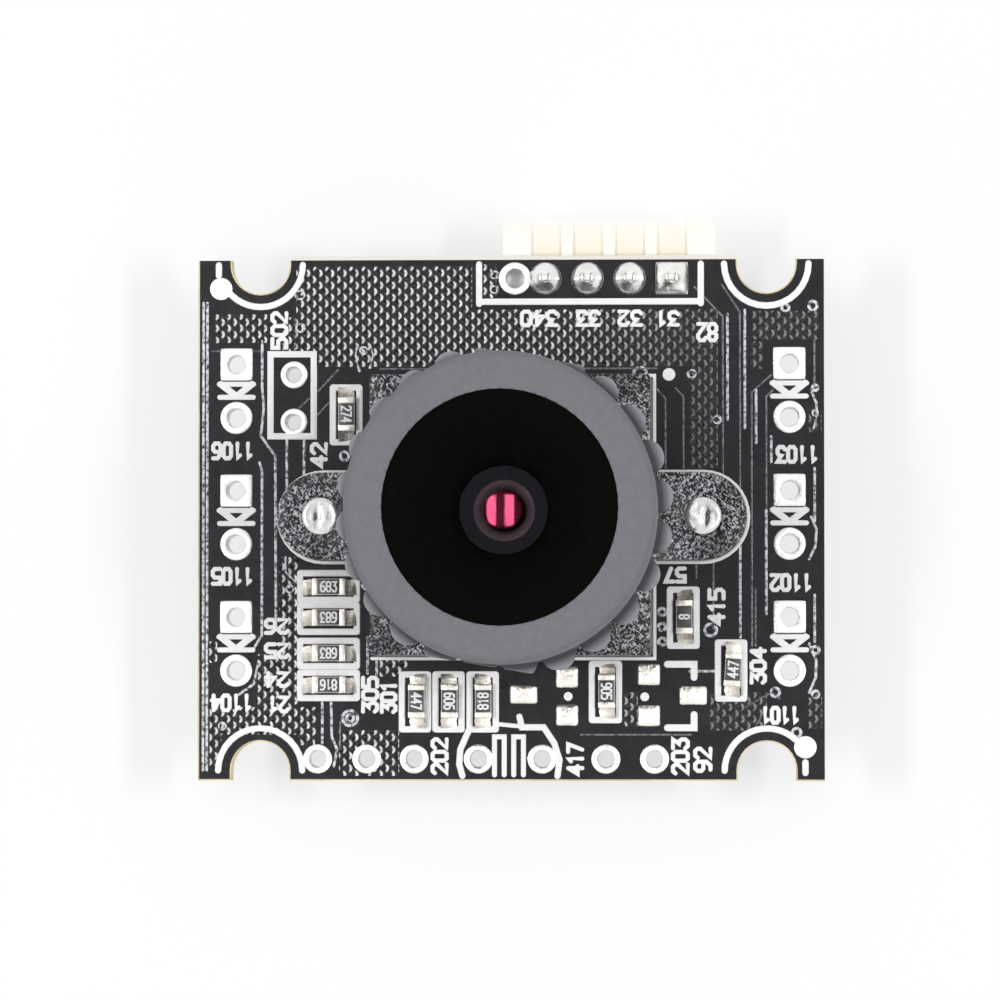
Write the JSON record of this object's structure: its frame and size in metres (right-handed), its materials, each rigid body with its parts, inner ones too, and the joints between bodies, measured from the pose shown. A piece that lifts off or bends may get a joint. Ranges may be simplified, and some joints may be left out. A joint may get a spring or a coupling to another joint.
{
  "type": "webcam board module",
  "caption": "Bare camera circuit board with a screw-in focusing lens in a black holder, chip parts on both faces and a wire socket at one edge.",
  "frame": {"origin": "centre of the corner notch pattern, on the lens axis, at the board's rear face", "axes": "+Z along the lens axis, out of the lens; +X along the board's long side; +Y towards the side with the wire socket"},
  "size_m": [0.0297, 0.0268, 0.0226],
  "materials": {
    "board_mask": "satin black solder mask",
    "tinned_copper": "tinned",
    "solder": "bright solder",
    "white_nylon": "cream nylon",
    "holder_plastic": "mottled black",
    "lens_plastic": "matte, dark grey",
    "screw_steel": "nickel plated",
    "coated_glass": "coated",
    "filter_glass": "pale blue-green filter",
    "sensor_silicon": "dark, iridescent",
    "crystal_can": "plated lid",
    "capacitor_ceramic": "tan ceramic",
    "resistor_body": "dark overcoat",
    "chip_resin": "black resin",
    "lead_metal": "tinned",
    "pin_metal": "tinned brass"
  },
  "bodies": {
    "board": {"chip_resistor_1": "resistor_body", "chip_resistor_10": "resistor_body", "chip_resistor_11": "resistor_body", "chip_resistor_2": "resistor_body", "chip_resistor_3": "resistor_body", "chip_resistor_4": "resistor_body", "chip_resistor_5": "resistor_body", "chip_resistor_6": "resistor_body", "chip_resistor_7": "resistor_body", "chip_resistor_8": "resistor_body", "chip_resistor_9": "resistor_body", "circuit_board": "board_mask", "controller_chip": "chip_resin", "controller_leads": "lead_metal", "crystal": "crystal_can", "filter_plate": "filter_glass", "front_chip_solder": "solder", "holder_screw_left": "screw_steel", "holder_screw_right": "screw_steel", "image_sensor": "sensor_silicon", "lens_holder": "holder_plastic", "memory_chip": "chip_resin", "memory_leads": "lead_metal", "plated_holes": "tinned_copper", "rear_capacitors": "capacitor_ceramic", "rear_chip_solder": "solder", "rear_resistors": "resistor_body", "regulator_1": "chip_resin", "regulator_2": "chip_resin", "regulator_leads": "lead_metal", "sensor_balls": "solder", "sensor_glass": "coated_glass", "socket_housing": "white_nylon", "socket_pin_1": "pin_metal", "socket_pin_2": "pin_metal", "socket_pin_3": "pin_metal", "socket_pin_4": "pin_metal", "solder_joints": "solder", "surface_pads": "tinned_copper"},
    "lens_glasses": {"front_glass": "coated_glass", "aperture_ring": "lens_plastic", "middle_glass": "coated_glass", "glass_spacer": "lens_plastic", "rear_glass": "coated_glass"},
    "lens_barrel": {"lens_barrel": "lens_plastic", "clamp_ring": "lens_plastic"}
  },
  "joints": [
    {"name": "lens_travel", "type": "slide", "parent": "board", "child": "lens_glasses", "axis": [0, 0, 1], "range_m": [-0.0004, 0.001]},
    {"name": "lens_turn", "type": "hinge", "parent": "lens_glasses", "child": "lens_barrel", "pos_m": [0, 0, 0.0094], "axis": [0, 0, 1], "range_deg": [-294, 726]}
  ],
  "couplings": [
    {"joint": "lens_turn", "follows": "lens_travel", "rad_per_m": 12566}
  ]
}
